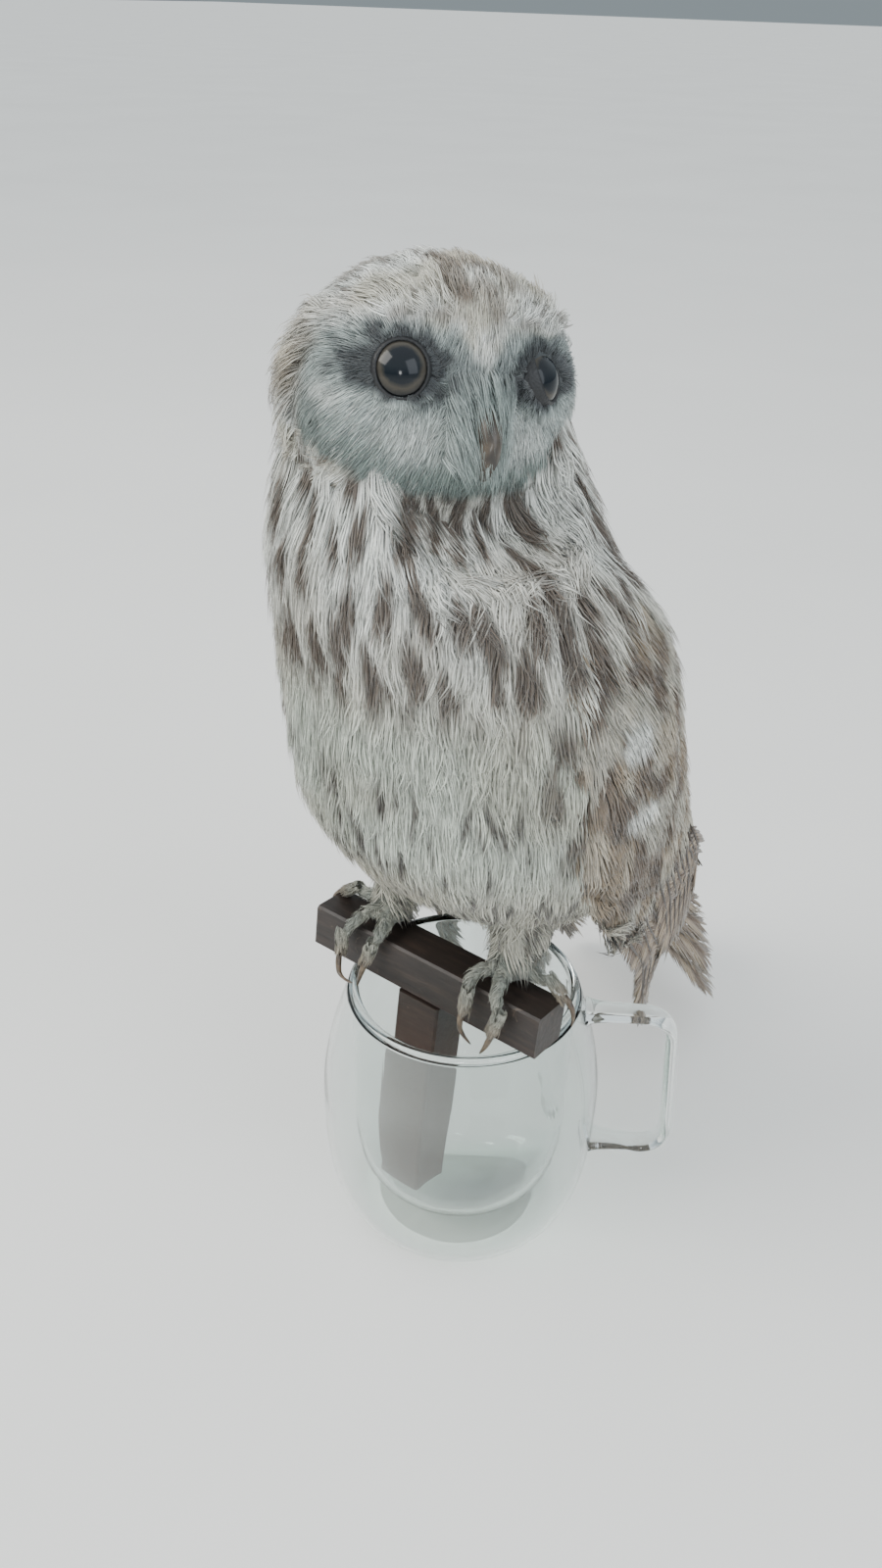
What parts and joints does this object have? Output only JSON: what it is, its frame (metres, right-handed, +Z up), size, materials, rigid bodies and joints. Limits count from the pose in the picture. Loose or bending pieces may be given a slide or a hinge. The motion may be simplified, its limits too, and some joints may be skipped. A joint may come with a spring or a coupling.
{
  "type": "taxidermy owl",
  "caption": "Mounted short-eared owl with its head turned, gripping a dark wooden T-perch whose post stands in a double-walled glass mug.",
  "frame": {"origin": "centre of the glass mug's flat foot, on the surface it stands on", "axes": "+Z up; -Y the way the owl's breast faces; +X the owl's left, along the perch's bar"},
  "size_m": [0.1379, 0.2342, 0.3426],
  "materials": {
    "plumage_pale": "soft matte feather",
    "plumage_brown": "matte barred feather",
    "foot_down": "short hair-like feather",
    "horn": "satin horn",
    "eye_glass": "polished, painted behind",
    "perch_wood": "dark stain, scuffed",
    "mug_glass": "clear blown glass"
  },
  "bodies": {
    "root": {"head": "plumage_pale", "neck": "plumage_pale", "trunk": "plumage_pale", "wing_left": "plumage_brown", "wing_right": "plumage_brown", "tail": "plumage_brown", "leg_left": "foot_down", "leg_right": "foot_down", "foot_left": "foot_down", "foot_right": "foot_down", "bill": "horn", "eye_left": "eye_glass", "eye_right": "eye_glass", "claw_left_inner": "horn", "claw_left_middle": "horn", "claw_left_outer": "horn", "claw_left_hind": "horn", "claw_right_inner": "horn", "claw_right_middle": "horn", "claw_right_outer": "horn", "claw_right_hind": "horn", "perch_bar": "perch_wood", "perch_post": "perch_wood", "mug_outer": "mug_glass", "mug_inner": "mug_glass", "mug_handle": "mug_glass"}
  },
  "joints": []
}
